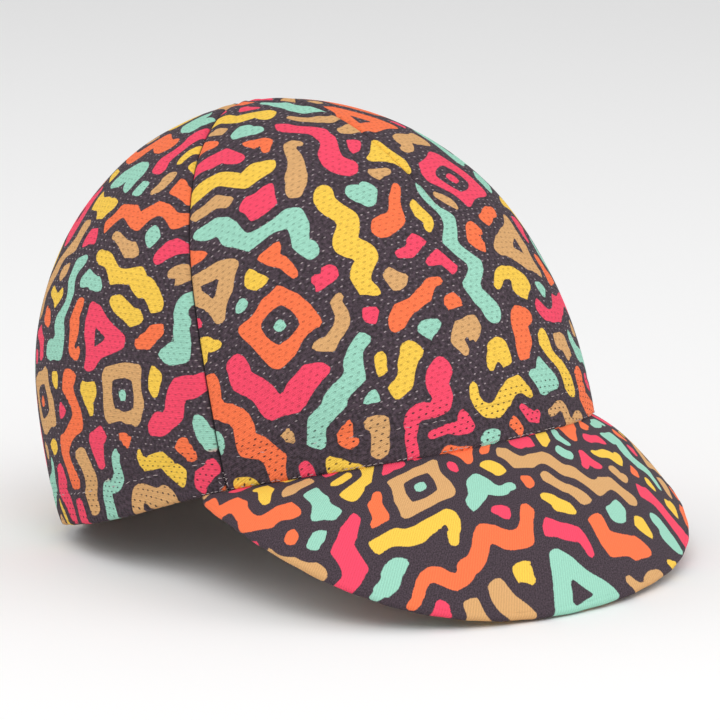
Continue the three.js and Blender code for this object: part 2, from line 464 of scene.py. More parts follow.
ROOMY_SHARE = 0.7
NEIGHBOURS = 1.6
DYE_CHANCE = 0.9
LEAST_STEP = 0.05
SLOPES = (0.3, 3)


def soft_least(a, b, roundness=EDGE_ROUND):
    """The smaller of two distances, with the corner between them rounded."""
    mixing = np.clip(0.5 + 0.5 * (b - a) / roundness, 0, 1)
    return b * (1 - mixing) + a * mixing - roundness * mixing * (1 - mixing)


def least_distance(places, path):
    return np.linalg.norm(places[:, None] - path[None], axis=-1).min(axis=1)


# %% Lay one shape
def loop(place, corners, radius, heading):
    """A closed line round a place: a triangle or square for few corners, a ring for many."""
    turns = heading + np.linspace(0, 2 * math.pi, corners + 1)
    return place + radius * np.stack([np.cos(turns), np.sin(turns)], axis=-1)


def grow(place, heading, room, taken, chance):
    """One arm of a stroke. It swings from side to side, and turns away from what lies ahead."""
    swing, pitch = chance.uniform(*SWING), chance.uniform(*SWING_PITCH)
    phase, reach = chance.uniform(0, 2 * math.pi), chance.uniform(*ARM_REACH)
    least = min(ROOM_AHEAD * STROKE_SPACING, ROOM_AT_START * room)
    arm = []
    while len(arm) * STROKE_STEP < reach:
        aim = heading + swing * math.sin(2 * math.pi * len(arm) * STROKE_STEP / pitch + phase)
        for turn in WAYS_ROUND:
            ahead = place + STROKE_STEP * np.array([math.cos(aim + turn), math.sin(aim + turn)])
            if least_distance(ahead[None], taken)[0] >= least:
                break
        else:
            break
        heading += TURN_KEPT * turn
        place = ahead
        arm.append(place)
    return arm


def lay_shape(start, room, taken, chance):
    """The middle line of the next shape, and its half width from one end to the other."""
    kind = chance.uniform()
    heading = chance.uniform(0, 2 * math.pi)
    width = STROKE_HALF_WIDTH * chance.uniform(*WIDTHS)
    if room > LOOP_ROOM and kind < LOOPS_UNDER:
        corners = LOOP_CORNERS[chance.integers(0, len(LOOP_CORNERS))]
        radius = LOOP_RADIUS if corners < RING_CORNERS else RING_RADIUS
        path = loop(start, corners, radius, heading)
        return path, np.full(len(path), LOOP_WIDTH * width)
    if kind > DROPS_OVER:
        return np.array([start, start + 0.1]), np.full(2, DROP_WIDTH * width)
    ahead = grow(start, heading, room, taken, chance)
    behind = grow(start, heading + math.pi, room, taken, chance)
    path = np.array(behind[::-1] + [start, start + 0.1] + ahead)
    other_end = POINTED_END if kind < POINTED_UNDER else BLUNT_END
    return path, np.linspace(width * BROAD_END, width * other_end, len(path))


# %% Lay a whole print
def plan_print(flat, seed):
    """Lays shapes over a flat cut until no place is left, each in the dye that is rarest around it."""
    chance = np.random.default_rng(seed)
    low, high = flat.min(axis=0) - PAST_EDGE, flat.max(axis=0) + PAST_EDGE
    columns, rows = np.arange(low[0], high[0], ROOM_GRID), np.arange(low[1], high[1], ROOM_GRID)
    places = np.stack(np.meshgrid(columns, rows), axis=-1).reshape(-1, 2)
    room = np.full(len(places), float(FAR))
    taken = low[None] - FAR
    shapes = []
    while room.max() > LEAST_ROOM:
        roomy = np.flatnonzero(room > max(ROOMY_SHARE * room.max(), LEAST_ROOM))
        spot = chance.choice(roomy)
        path, half = lay_shape(places[spot], room[spot], taken, chance)
        close = NEIGHBOURS * STROKE_SPACING
        around = [shape["dye"] for shape in shapes if least_distance(shape["path"], path).min() < close]
        rarity = [around.count(dye) + chance.uniform(0, DYE_CHANCE) for dye in range(len(DYES))]
        shapes.append({"path": path, "half": half, "dye": int(np.argmin(rarity))})
        line = np.concatenate([path, (path[1:] + path[:-1]) / 2])
        taken = np.concatenate([taken, line])
        room = np.minimum(room, least_distance(places, line))
    return shapes


def nearest_on(path, half, points):
    """Distance from points to a line, and the shape's half width at the nearest place on it."""
    step = path[1:] - path[:-1]
    offset = points[:, None] - path[:-1]
    along = np.clip((offset * step).sum(axis=-1) / (step**2).sum(axis=-1), 0, 1)
    away = np.linalg.norm(offset - along[..., None] * step, axis=-1)
    best = away.argmin(axis=1)
    rows = np.arange(len(points))
    return away[rows, best], half[best] + along[rows, best] * (half[best + 1] - half[best])


def draw_print(flat, shapes):
    """The print on a flat cut: for each point its distance inside a coloured shape, and a colour."""
    nearest, second = np.full((2, len(flat)), float(FAR))
    half_width = np.ones(len(flat))
    colour = np.zeros((len(flat), 3))
    dyes = np.array(list(DYES.values()))
    reach = 2 * STROKE_SPACING
    for shape in shapes:
        low, high = shape["path"].min(axis=0) - reach, shape["path"].max(axis=0) + reach
        close = np.flatnonzero(((flat > low) & (flat < high)).all(axis=1))
        if not len(close):
            continue
        away, half = nearest_on(shape["path"], shape["half"], flat[close])
        wins = away < nearest[close]
        second[close] = np.where(wins, nearest[close], np.minimum(second[close], away))
        won = close[wins]
        nearest[won], half_width[won], colour[won] = away[wins], half[wins], dyes[shape["dye"]]
    inside = soft_least((second - nearest) / 2 - PRINT_GAP / 2, half_width - nearest)
    return np.clip(inside, -KEPT_DISTANCE, KEPT_DISTANCE), colour


def even_slope(inside, flat, columns):
    """Divides the distance by its own slope over the cloth, so that every outline is equally sharp."""
    field = inside.reshape(-1, columns + 1)
    place = flat.reshape(-1, columns + 1, 2)
    slope = np.zeros_like(field)
    for axis in (0, 1):
        step = np.linalg.norm(np.gradient(place, axis=axis), axis=-1)
        slope += (np.gradient(field, axis=axis) / np.maximum(step, LEAST_STEP)) ** 2
    return (field / np.clip(np.sqrt(slope), *SLOPES)).ravel()


def store_number(piece, name, values):
    """Keeps one number a corner of a grid, for its material to read."""
    kept = piece.data.attributes.new(name, "FLOAT", "POINT")
    kept.data.foreach_set("value", values.astype(np.float32))


def store_print(piece, inside, colour):
    """Keeps the print on the corners of a grid, before it is thickened."""
    store_number(piece, "print_inside", inside)
    dye = piece.data.attributes.new("print_colour", "FLOAT_COLOR", "POINT")
    rgba = np.concatenate([colour, np.ones((len(colour), 1))], axis=1)
    dye.data.foreach_set("color", rgba.astype(np.float32).ravel())


PRINT_SEEDS = {"front": 11, "back_left": 23, "back_right": 37}
PRINTS = {
    pattern_name: plan_print(PATTERNS[pattern_name]["table"].reshape(-1, 2), seed)
    for pattern_name, seed in PRINT_SEEDS.items()
}
for pattern_name, shapes in PRINTS.items():
    print("%s: %d shapes in %d dyes" % (pattern_name, len(shapes), len(DYES)))

# %% [markdown]
# ## Finishes
# The crown is a knit with rows of pin holes. Under the print its yarn is white, so on the dark ground
# each hole shows as a light speck. On a light colour each hole gets a faint painted shade, and in the
# hem, where a second cloth lies behind, the holes get a deep painted shade. The peak is a smoother
# twill. Both are drawn on the flat map, whose unit is a millimetre.


# %% Small helpers for node trees
class Nodes:
    """A material's node tree, with short names for what is used often."""

    def __init__(self, name):
        self.material = bpy.data.materials.new(name)
        self.material.use_nodes = True
        self.tree = self.material.node_tree
        self.shader = self.tree.nodes["Principled BSDF"]

    def node(self, kind, **settings):
        made = self.tree.nodes.new(kind)
        for key, value in settings.items():
            setattr(made, key, value)
        return made

    def feed(self, socket, value):
        if isinstance(value, bpy.types.NodeSocket):
            self.tree.links.new(value, socket)
        else:
            socket.default_value = value

    def sum(self, operation, *values):
        made = self.node("ShaderNodeMath", operation=operation)
        for socket, value in zip(made.inputs, values):
            self.feed(socket, value)
        return made.outputs[0]

    def ramp(self, value, low, high):
        """0 below low, 1 above high, smooth between."""
        made = self.node("ShaderNodeMapRange", interpolation_type="SMOOTHSTEP")
        for socket, given in zip(made.inputs, (value, low, high, 0.0, 1.0)):
            self.feed(socket, given)
        return made.outputs[0]

    def blend(self, share, first, second, way="MIX"):
        made = self.node("ShaderNodeMix", data_type="RGBA", blend_type=way)
        self.feed(made.inputs[0], share)
        self.feed(made.inputs[6], first)
        self.feed(made.inputs[7], second)
        return made.outputs[2]

    def noise(self, place, scale, detail=2.0):
        made = self.node("ShaderNodeTexNoise")
        self.feed(made.inputs["Vector"], place)
        made.inputs["Scale"].default_value = scale
        made.inputs["Detail"].default_value = detail
        return made.outputs["Fac"]

    def greys(self, colour, strength, value, dark, light):
        """A colour times a grey from dark to light."""
        grey = self.blend(value, (dark, dark, dark, 1), (light, light, light, 1))
        return self.blend(strength, colour, grey, "MULTIPLY")

    def flat_place(self):
        return self.node("ShaderNodeUVMap", uv_map="flat").outputs["UV"]

    def flat_xy(self):
        split = self.node("ShaderNodeSeparateXYZ")
        self.feed(split.inputs[0], self.flat_place())
        return split.outputs["X"], split.outputs["Y"]

    def stored(self, name, output="Fac"):
        """What is kept under a name on the corners of a piece."""
        return self.node("ShaderNodeAttribute", attribute_name=name).outputs[output]

    def finish(self, colour, height, strength, depth, gloss):
        """The colour, the relief (a height times a depth in metres) and the gloss of the surface."""
        bump = self.node("ShaderNodeBump")
        bump.inputs["Strength"].default_value = strength
        bump.inputs["Distance"].default_value = depth
        self.feed(bump.inputs["Height"], height)
        self.feed(self.shader.inputs["Normal"], bump.outputs[0])
        self.feed(self.shader.inputs["Base Color"], colour)
        self.shader.inputs["Specular IOR Level"].default_value = gloss
        return self.material


# %% The pin holes
HOLE_SPACING = 2.55
HOLE_ROW = 1.9
HOLE_HALF_LENGTH = 0.52
HOLE_HALF_WIDTH = 0.27


def pin_holes(nodes):
    """1 in the holes of a staggered grid on the flat map, and a number for each hole."""
    x, y = nodes.flat_xy()
    rows = nodes.sum("DIVIDE", y, HOLE_ROW)
    row = nodes.sum("FLOOR", rows)
    odd = nodes.sum("FLOORED_MODULO", row, 2.0)
    columns = nodes.sum("MULTIPLY_ADD", odd, 0.5, nodes.sum("DIVIDE", x, HOLE_SPACING))
    in_column = nodes.sum("SUBTRACT", nodes.sum("FRACT", columns), 0.5)
    in_row = nodes.sum("SUBTRACT", nodes.sum("FRACT", rows), 0.5)
    beside = nodes.sum("MULTIPLY", in_column, HOLE_SPACING / HOLE_HALF_LENGTH)
    above = nodes.sum("MULTIPLY", in_row, HOLE_ROW / HOLE_HALF_WIDTH)
    squares = nodes.sum("MULTIPLY_ADD", above, above, nodes.sum("MULTIPLY", beside, beside))
    hole = nodes.sum("SUBTRACT", 1.0, nodes.ramp(nodes.sum("SQRT", squares), low=0.5, high=1.2))
    which = nodes.node("ShaderNodeCombineXYZ")
    nodes.feed(which.inputs["X"], nodes.sum("FLOOR", columns))
    nodes.feed(which.inputs["Y"], row)
    chance = nodes.node("ShaderNodeTexWhiteNoise", noise_dimensions="2D")
    nodes.feed(chance.inputs["Vector"], which.outputs[0])
    return hole, chance.outputs["Value"]


OUTLINE_FUZZ = 0.35
FUZZ_SCALE = 1.6
OUTLINE_SOFT = 0.15


def printed_colour(nodes, mottle_scale=0.9):
    """The print's colour, and 1 where a coloured shape is, 0 on the ground."""
    uneven = nodes.sum("SUBTRACT", nodes.noise(nodes.flat_place(), FUZZ_SCALE), 0.5)
    inside = nodes.sum("ADD", nodes.stored("print_inside"), nodes.sum("MULTIPLY", uneven, OUTLINE_FUZZ))
    shape = nodes.ramp(inside, -OUTLINE_SOFT, OUTLINE_SOFT)
    dye = nodes.stored("print_colour", "Color")
    mottle = nodes.ramp(nodes.noise(nodes.flat_place(), mottle_scale, 3.0), low=0.3, high=0.7)
    ground = nodes.blend(mottle, (*GROUND_DARK, 1), (*GROUND_LIGHT, 1))
    return nodes.blend(shape, ground, dye), shape


# %% Knit
HOLE_SHADE = (0.045, 0.03, 0.035)
YARN_SPECK = (0.60, 0.50, 0.52)
PAINTED_SEAM_SHADE = (0.010, 0.007, 0.009)
SINGLE_HOLE_SHADE = 0.2
DOUBLED_HOLE_SHADE = 0.98
DOUBLED_SPECKS = 0.1
WEAR_SCALE = 0.035
YARN_STRETCH = (0.55, 2.4, 1)
LOOP_PITCH = 0.62


def knit(name, speck_share):
    """Pin-hole knit with the print. speck_share is how strongly light yarn shows in the ground's holes."""
    nodes = Nodes(name)
    place = nodes.flat_place()
    colour, shape = printed_colour(nodes)
    hole, chance = pin_holes(nodes)
    doubled = nodes.stored("doubled")
    colour = nodes.greys(colour, 0.3, nodes.noise(place, WEAR_SCALE, 3.0), dark=0.72, light=1.1)
    along_rows = nodes.node("ShaderNodeMapping")
    nodes.feed(along_rows.inputs["Vector"], place)
    along_rows.inputs["Scale"].default_value = YARN_STRETCH
    yarn = nodes.noise(along_rows.outputs[0], 1.0, 3.0)
    colour = nodes.greys(colour, 0.5, yarn, dark=0.35, light=1.6)
    # Painted shade in the pin holes on the dyes: faint on a single cloth, deep in the doubled hem.
    strength = nodes.sum("MULTIPLY_ADD", doubled, DOUBLED_HOLE_SHADE - SINGLE_HOLE_SHADE, SINGLE_HOLE_SHADE)
    depth = nodes.sum("MULTIPLY", strength, nodes.ramp(chance, low=-0.7, high=0.8))
    hole_shade_on_dye = nodes.sum("MULTIPLY", nodes.sum("MULTIPLY", hole, shape), depth)
    colour = nodes.blend(hole_shade_on_dye, colour, (*HOLE_SHADE, 1))
    ground = nodes.sum("SUBTRACT", 1.0, shape)
    single = nodes.sum("MULTIPLY_ADD", doubled, DOUBLED_SPECKS - 1, 1.0)
    speck = nodes.sum("MULTIPLY", nodes.ramp(chance, low=0.0, high=0.9), speck_share)
    lit = nodes.sum("MULTIPLY", speck, single)
    on_ground = nodes.sum("MULTIPLY", nodes.sum("MULTIPLY", hole, ground), lit)
    colour = nodes.blend(on_ground, colour, (*YARN_SPECK, 1))
    # Painted shade: the colour is darkened in the seams' grooves and along the hem's crease.
    shade = nodes.ramp(nodes.stored("seam_shade"), low=0.25, high=0.75)
    colour = nodes.blend(shade, colour, (*PAINTED_SEAM_SHADE, 1))
    loops = nodes.sum("SINE", nodes.sum("MULTIPLY", nodes.flat_xy()[1], 2 * math.pi / LOOP_PITCH))
    relief = nodes.sum("MULTIPLY_ADD", loops, 0.25, nodes.sum("MULTIPLY", yarn, 1.1))
    relief = nodes.sum("MULTIPLY_ADD", hole, -1.8, relief)
    nodes.feed(nodes.shader.inputs["Roughness"], nodes.ramp(yarn, low=-1.6, high=1.2))
    return nodes.finish(colour, relief, strength=0.7, depth=0.0003, gloss=0.22)


crown_knit = knit("crown_knit_print", 0.62)
hem_knit = knit("hem_knit_print", 0.3)

# %% The inner side of the knit, and the twill of the peak
WHITE_YARN = (0.62, 0.60, 0.58)
INNER_HOLE_SHADE = (0.1, 0.085, 0.09)
SHOWS_THROUGH = 0.2


def knit_back(name):
    """The unprinted side: white yarn with the print showing faintly through, and painted shade in the
    holes.
    """
    nodes = Nodes(name)
    colour, _ = printed_colour(nodes)
    hole, _ = pin_holes(nodes)
    pale = nodes.blend(SHOWS_THROUGH, (*WHITE_YARN, 1), colour)
    # Painted shade in the holes of the inner side.
    pale = nodes.blend(nodes.sum("MULTIPLY", hole, 0.6), pale, (*INNER_HOLE_SHADE, 1))
    nodes.shader.inputs["Roughness"].default_value = 0.9
    relief = nodes.noise(nodes.flat_place(), 1.8, 3.0)
    return nodes.finish(pale, relief, strength=0.5, depth=0.0002, gloss=0.2)


TWILL_PITCH = 0.8
TWILL_SLANT = 0.3
TWILL_MOTTLE = 2.4


def twill(name):
    """Fine diagonal twill with the print."""
    nodes = Nodes(name)
    x, y = nodes.flat_xy()
    colour, _ = printed_colour(nodes, TWILL_MOTTLE)
    slant = nodes.sum("MULTIPLY_ADD", y, TWILL_SLANT, x)
    ribs = nodes.sum("SINE", nodes.sum("MULTIPLY", slant, 2 * math.pi / TWILL_PITCH))
    yarn = nodes.noise(nodes.flat_place(), 2.6, 2.0)
    colour = nodes.greys(colour, 0.22, nodes.sum("MULTIPLY_ADD", ribs, 0.5, 0.5), dark=0.62, light=1.3)
    colour = nodes.greys(colour, 0.28, yarn, dark=0.5, light=1.45)
    nodes.feed(nodes.shader.inputs["Roughness"], nodes.ramp(yarn, low=-1.8, high=1.3))
    relief = nodes.sum("MULTIPLY_ADD", ribs, 0.4, yarn)
    return nodes.finish(colour, relief, strength=0.5, depth=0.0002, gloss=0.25)


THREAD = (0.50, 0.42, 0.43)
THREAD_TWIST = 2600.0
THREAD_SHADE = 0.75


def thread_finish(name):
    """Matt polyester thread, twisted."""
    nodes = Nodes(name)
    twist = nodes.noise(nodes.node("ShaderNodeTexCoord").outputs["Object"], THREAD_TWIST, 1.0)
    shaded = (*[THREAD_SHADE * part for part in THREAD], 1)
    nodes.feed(nodes.shader.inputs["Base Color"], nodes.blend(twist, shaded, (*THREAD, 1)))
    nodes.shader.inputs["Roughness"].default_value = 0.7
    return nodes.material


knit_inside = knit_back("knit_inside")
peak_twill = twill("peak_twill_print")
light_thread = thread_finish("light_thread")
print("finishes:", crown_knit.name, hem_knit.name, knit_inside.name, peak_twill.name, light_thread.name)

# %% [markdown]
# ## The lie of the cloth
# Cloth over a head isn't a smooth shell. Each seam pulls it into a narrow groove with a soft ridge
# beside it, where the seam's two turned edges lie. The elastic draws the back hem into small gathers
# that fade out upwards, and the rest carries shallow dents. All of that is added to the dome along its
# outward direction.

# %% Seams, gathers and dents
SEAM_DEPTH = 1.15
SEAM_HALF_WIDTH = 0.75
RIDGE_HEIGHT = 0.35
RIDGE_PLACE = 3.2
RIDGE_WIDTH = 1.7
DART_END_RISE = 72
DART_FADE = 25
CREASE_DEPTH = 0.2
CREASE_WIDTH = 1.2
GATHER_START = 0.25
GATHER_GROWTH = 0.7
GATHER_FADE = 30
GATHER_ROUND = 34
GATHER_DEPTH = 0.57
WIDE_DENT = 0.55
FINE_DENT = 0.22
SEAM_SHADE_WIDTH = 0.9
CREASE_SHADE = 0.38
CREASE_SHADE_AHEAD = 0.06
PULL = math.radians(2.6)
PULL_WIDTH = math.radians(30)
PULL_FADE = 12


def beside(angle, share, seam_angle):
    """Distance from a seam that climbs to the top, in millimetres along the cloth."""
    place = dome(angle, share)
    radius = np.hypot(place[..., 0], place[..., 1] - TOP_LEAN)
    turn = np.abs((angle - seam_angle + math.pi) % (2 * math.pi) - math.pi)
    return radius * np.minimum(turn, math.pi / 2)


def beside_long_seams(angle, share):
    """Distance from the nearest of the three seams that climb from the hem to the top."""
    return np.minimum.reduce([beside(angle, share, seam) for seam in (SIDE_SEAM, -SIDE_SEAM, math.pi)])


def in_dart(rise):
    """0 below the dart's lower end, and 1 where it is fully sewn."""
    return np.clip((rise - DART_END_RISE) / DART_FADE, 0, 1)


def seam_relief(distance):
    groove = -SEAM_DEPTH * np.exp(-((distance / SEAM_HALF_WIDTH) ** 2))
    return groove + RIDGE_HEIGHT * np.exp(-(((distance - RIDGE_PLACE) / RIDGE_WIDTH) ** 2))


def gathers(angle, rise):
    """Soft pleats of uneven size where the elastic draws the back hem in."""
    behind = np.clip((GATHER_START - np.cos(angle)) / (1 + GATHER_START), 0, 1) ** GATHER_GROWTH
    fade = np.exp(-((np.maximum(rise, 0) / GATHER_FADE) ** 2))
    wave = np.sin(GATHER_ROUND * angle + 1.4 * np.sin(5 * angle)) + 0.5 * np.sin(21 * angle + 1)
    return GATHER_DEPTH * behind * fade * wave


def dents(angle, share):
    wide = np.sin(3 * angle + 5 * share) * np.sin(7 * share + 0.7)
    fine = np.sin(9 * angle - 6 * share + 1) * np.sin(16 * share)
    return (WIDE_DENT * wide + FINE_DENT * fine) * np.sin(math.pi * np.clip(share, 0, 1))


def lie(angle, share):
    """How far the crown's cloth stands out from the dome, in millimetres."""
    rise = rise_at(angle, share)
    seams = seam_relief(beside_long_seams(angle, share))
    dart = in_dart(rise) * seam_relief(beside(angle, share, 0.0))
    crease = -CREASE_DEPTH * np.exp(-(((rise - HEM_HEIGHT) / CREASE_WIDTH) ** 2))
    return seams + dart + crease + gathers(angle, rise) + dents(angle, share)


def seam_shade(angle, share):
    """How much painted shade lies in a seam's groove or the hem's crease: 1 in it, 0 beside it."""
    rise = rise_at(angle, share)
    seams = 1 - beside_long_seams(angle, share) / SEAM_SHADE_WIDTH
    dart = (1 - beside(angle, share, 0.0) / SEAM_SHADE_WIDTH) * in_dart(rise)
    strength = CREASE_SHADE + CREASE_SHADE_AHEAD * np.cos(angle)
    crease = (1 - np.abs(rise - HEM_HEIGHT) / SEAM_SHADE_WIDTH) * strength
    return np.clip(np.maximum.reduce([seams, dart, crease]), 0, 1)


def pulled(angle, share):
    """Near the hem the elastic pulls the foot of each side seam backwards."""
    ahead = np.cos(angle)
    near = np.exp(-(((np.arccos(np.clip(ahead, -1, 1)) - SIDE_SEAM) / PULL_WIDTH) ** 2))
    return angle + np.sign(np.sin(angle)) * PULL * near * share**PULL_FADE


def cloth_point(angle, share, depth):
    """A point of the crown's cloth in metres, depth millimetres under its outer side."""
    turned = pulled(angle, share)
    out = (lie(angle, share) - depth)[:, None] * dome_normal(turned, share)
    return world(dome(turned, share) + out)


# %% [markdown]
# ## The crown's panels
# The panels run from the hem's crease to the top, where all three meet. Each is a grid whose columns
# climb from the hem to the top. The cloth is a millimetre thick, and its outer side lies on the dome,
# so half of the thickness goes to each side of the grid.

# %% Cut and drape the panels
CLOTH = 1.0
SHARP_OVER = math.radians(55)
PANEL_ROWS = 120
PANELS = {
    "front_panel": {"pattern": "front", "columns": 220},
    "back_panel_left": {"pattern": "back_left", "columns": 150},
    "back_panel_right": {"pattern": "back_right", "columns": 150},
}
TOP_SHARE = 0.002
HEM_GAP = 0.02
HEM_TURN_UP = 4.5
DART_TAKE_UP = 9


def cut_of(piece):
    """Width, length and area of the flat cut, in metres."""
    width, length = np.ptp(read_map(piece.data.uv_layers["flat"]), axis=0) / 1000
    return float(width), float(length), area_of(piece.data)


def declare_cloth(piece, cut, node):
    """Hangs a cloth on the root body, hides the CAD part that it replaces and prints its flat cut."""
    width, length, area = cut
    area = min(area, width * length)
    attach(piece, "root")
    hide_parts(node)
    print("%s: cut %.0f x %.0f mm, %.0f cm2" % (piece.name, width * 1000, length * 1000, area * 1e4))


for panel_name, panel in PANELS.items():
    pattern = PATTERNS[panel["pattern"]]
    across, along = grid_numbers(panel["columns"], PANEL_ROWS)
    angle = pattern["first"] + (pattern["last"] - pattern["first"]) * across
    hem_share = share_at(angle, HEM_HEIGHT + HEM_GAP)
    share = hem_share + (TOP_SHARE - hem_share) * along
    piece = add_grid(panel_name + "_cloth", panel["columns"], PANEL_ROWS)
    drape(piece, cloth_point(angle, share, CLOTH / 2))
    flat = on_pattern(pattern, angle, share)
    if panel_name == "front_panel":
        up_dart = (rise_at(angle, share) - DART_END_RISE) / (CROWN_HEIGHT - DART_END_RISE)
        taken = DART_TAKE_UP * np.clip(up_dart, 0, 1)
        flat[:, 0] += np.where(angle > 1e-6, taken, -taken)
    lay_flat_map(piece, flat)
    inside, colour = draw_print(flat, PRINTS[panel["pattern"]])
    doubled = np.clip(HEM_HEIGHT + HEM_TURN_UP - rise_at(angle, share), 0, 1)
    store_print(piece, even_slope(inside, flat, panel["columns"]), colour)
    store_number(piece, "doubled", doubled)
    store_number(piece, "seam_shade", seam_shade(angle, share))
    face_outwards(piece, head_centre)
    piece.data.materials.append(crown_knit)
    piece.data.materials.append(knit_inside)
    cut = cut_of(piece)
    thicken(piece, CLOTH)
    bpy.ops.object.shade_smooth_by_angle(angle=SHARP_OVER)
    declare_cloth(piece, cut, panel_name)

# %% [markdown]
# ## The hem
# The lower edge of the crown is folded up inside and sewn down, so the hem is twice as thick and has a
# round lower edge. The grid goes down the outside, round the fold and up the inside. Over the peak it
# is straight, and from one side seam round the back to the other the elastic gathers it.

# %% Fold the two hems
FOLD_RADIUS = 0.65
HEM_ROWS = 28
FRONT_HEM_COLUMNS = 200
BACK_HEM_COLUMNS = 320


def hem_section(along):
    """Height over the hem's edge, depth under its outer side, and what is past the fold."""
    lowest = CLOTH / 2 + FOLD_RADIUS
    straight = HEM_HEIGHT - lowest
    round_length = math.pi * FOLD_RADIUS
    walked = along * (2 * straight + round_length)
    turned = np.clip((walked - straight) / round_length, 0, 1) * math.pi
    down = np.minimum(walked, straight)
    up = np.maximum(walked - straight - round_length, 0)
    height = HEM_HEIGHT - down - FOLD_RADIUS * np.sin(turned) + up
    depth = CLOTH / 2 + FOLD_RADIUS * (1 - np.cos(turned))
    return height, depth, turned > math.pi / 2


def make_hem(node, first_angle, last_angle, columns, patterns):
    """One folded hem between two angles; patterns names the cut that each stretch belongs to."""
    across, along = grid_numbers(columns, HEM_ROWS)
    angle = first_angle + (last_angle - first_angle) * across
    height, depth, folded = hem_section(along)
    share = share_at(angle, height)
    piece = add_grid(node + "_cloth", columns, HEM_ROWS)
    drape(piece, cloth_point(angle, share, depth))
    flat = np.empty((len(angle), 2))
    inside = np.empty(len(angle))
    colour = np.empty((len(angle), 3))
    for pattern_name in patterns:
        pattern = PATTERNS[pattern_name]
        mine = (angle >= pattern["first"] - 1e-9) & (angle <= pattern["last"] + 1e-9)
        outer = on_pattern(pattern, angle[mine], share[mine])
        edge = on_pattern(pattern, angle[mine], np.ones(mine.sum()))
        flat[mine] = np.where(folded[mine][:, None], 2 * edge - outer, outer)
        inside[mine], colour[mine] = draw_print(flat[mine], PRINTS[pattern_name])
    lay_flat_map(piece, flat)
    store_print(piece, even_slope(inside, flat, columns), colour)
    store_number(piece, "doubled", np.ones(len(angle)))
    store_number(piece, "seam_shade", seam_shade(angle, share))
    piece.data.materials.append(hem_knit)
    piece.data.materials.append(knit_inside)
    outer_rows = piece.data.polygons[0]
    if (outer_rows.center - head_centre).dot(outer_rows.normal) < 0:
        piece.data.flip_normals()
    round_angle = angle[: columns + 1]
    middle_row = cloth_point(round_angle, share_at(round_angle, HEM_HEIGHT / 2), CLOTH / 2)
    round_it = float(np.linalg.norm(np.diff(middle_row, axis=0), axis=1).sum())
    area = area_of(piece.data)
    thicken(piece, CLOTH)
    flatten_on_floor(piece)
    bpy.ops.object.shade_smooth_by_angle(angle=SHARP_OVER)
    declare_cloth(piece, (round_it, area / round_it, area), node)


make_hem("front_hem", -SIDE_SEAM, SIDE_SEAM, FRONT_HEM_COLUMNS, ["front"])
make_hem(
    "elastic_back_hem", SIDE_SEAM, SEAM_ROUND_BACK, BACK_HEM_COLUMNS, ["back_left", "back_right"],
)

# %% [markdown]
# ## The peak
# Two cloths with a thin stiff filling between them: it droops from the hem, spreads at its sides and
# curves round the brow. Its upper and lower cloth are grids from the hem to the rim. Where the two are
# sewn together the rim is a thin rolled edge, which is a third grid, bent round a line that follows the
# rim.

# %% The form of the peak
PEAK_END = math.radians(81)
PEAK_REACH = 23.9
PEAK_DROP = 55.8
PEAK_SIDE_DROP = 6.2
PEAK_SPREAD = 25.7
PEAK_FRONT_ROUND = 1.26
PEAK_DROP_ROUND = 1.9
PEAK_CAMBER = 6.5
PEAK_TWIST = 4
PEAK_LIFT = 6
PEAK_INSET = 1.2
PEAK_TUCK = 0.5
PEAK_HANG = 0.3
PEAK_THICKNESS = 2.8
PEAK_TOP_CLOTH = 1.4
PEAK_UNDER_CLOTH = 1.0
PEAK_WAVE = 0.35
RIM_WAVE = 0.25


def peak_surface(across, out):
    """Points of the peak's upper side: across from -1 at the right to 1, out from the hem to the rim."""
    hem = dome(across * PEAK_END, 1.0)
    inwards = hem[..., :2] / np.linalg.norm(hem[..., :2], axis=-1, keepdims=True)
    hem[..., :2] -= PEAK_INSET * inwards
    hem[..., 2] += PEAK_TUCK
    end = dome(PEAK_END, 1.0)
    turn = across * math.pi / 2
    middle = np.maximum(np.cos(turn), 0)
    lean = np.sin(turn) * middle
    reach = HEM_FRONT + PEAK_REACH + end[1]
    x = (end[0] - PEAK_INSET) * np.sin(turn) + PEAK_SPREAD * np.sin(2 * turn)
    y = end[1] - reach * middle**PEAK_FRONT_ROUND + PEAK_TWIST * lean
    drop = PEAK_DROP * middle**PEAK_DROP_ROUND + PEAK_SIDE_DROP * np.sin(2 * turn) ** 2
    z = end[2] - PEAK_HANG - drop + PEAK_LIFT * lean
    points = hem + (np.stack([x, y, z], axis=-1) - hem) * out[..., None]
    points[..., 2] += PEAK_CAMBER * np.sin(math.pi * out) * middle
    return points


def peak_normal(across, out):
    step = 0.01
    a, o = np.clip(across, -0.97, 0.97), np.clip(out, step, 1 - step)
    sideways = peak_surface(a + step, o) - peak_surface(a - step, o)
    outward = peak_surface(a, o + step) - peak_surface(a, o - step)
    normal = np.cross(outward, sideways)
    return normal / np.linalg.norm(normal, axis=-1, keepdims=True)


def peak_waves(across, out):
    """The filling is soft, so the peak isn't quite even."""
    middle = PEAK_WAVE * np.sin(7 * across + 3 * out) * np.sin(math.pi * out)
    return middle + RIM_WAVE * np.sin(11 * across + 1) * out


def peak_point(across, out, depth):
    shift = (peak_waves(across, out) - depth)[:, None] * peak_normal(across, out)
    return world(peak_surface(across, out) + shift)


# %% The flat map of the peak
PEAK_MIDDLE = 0.55


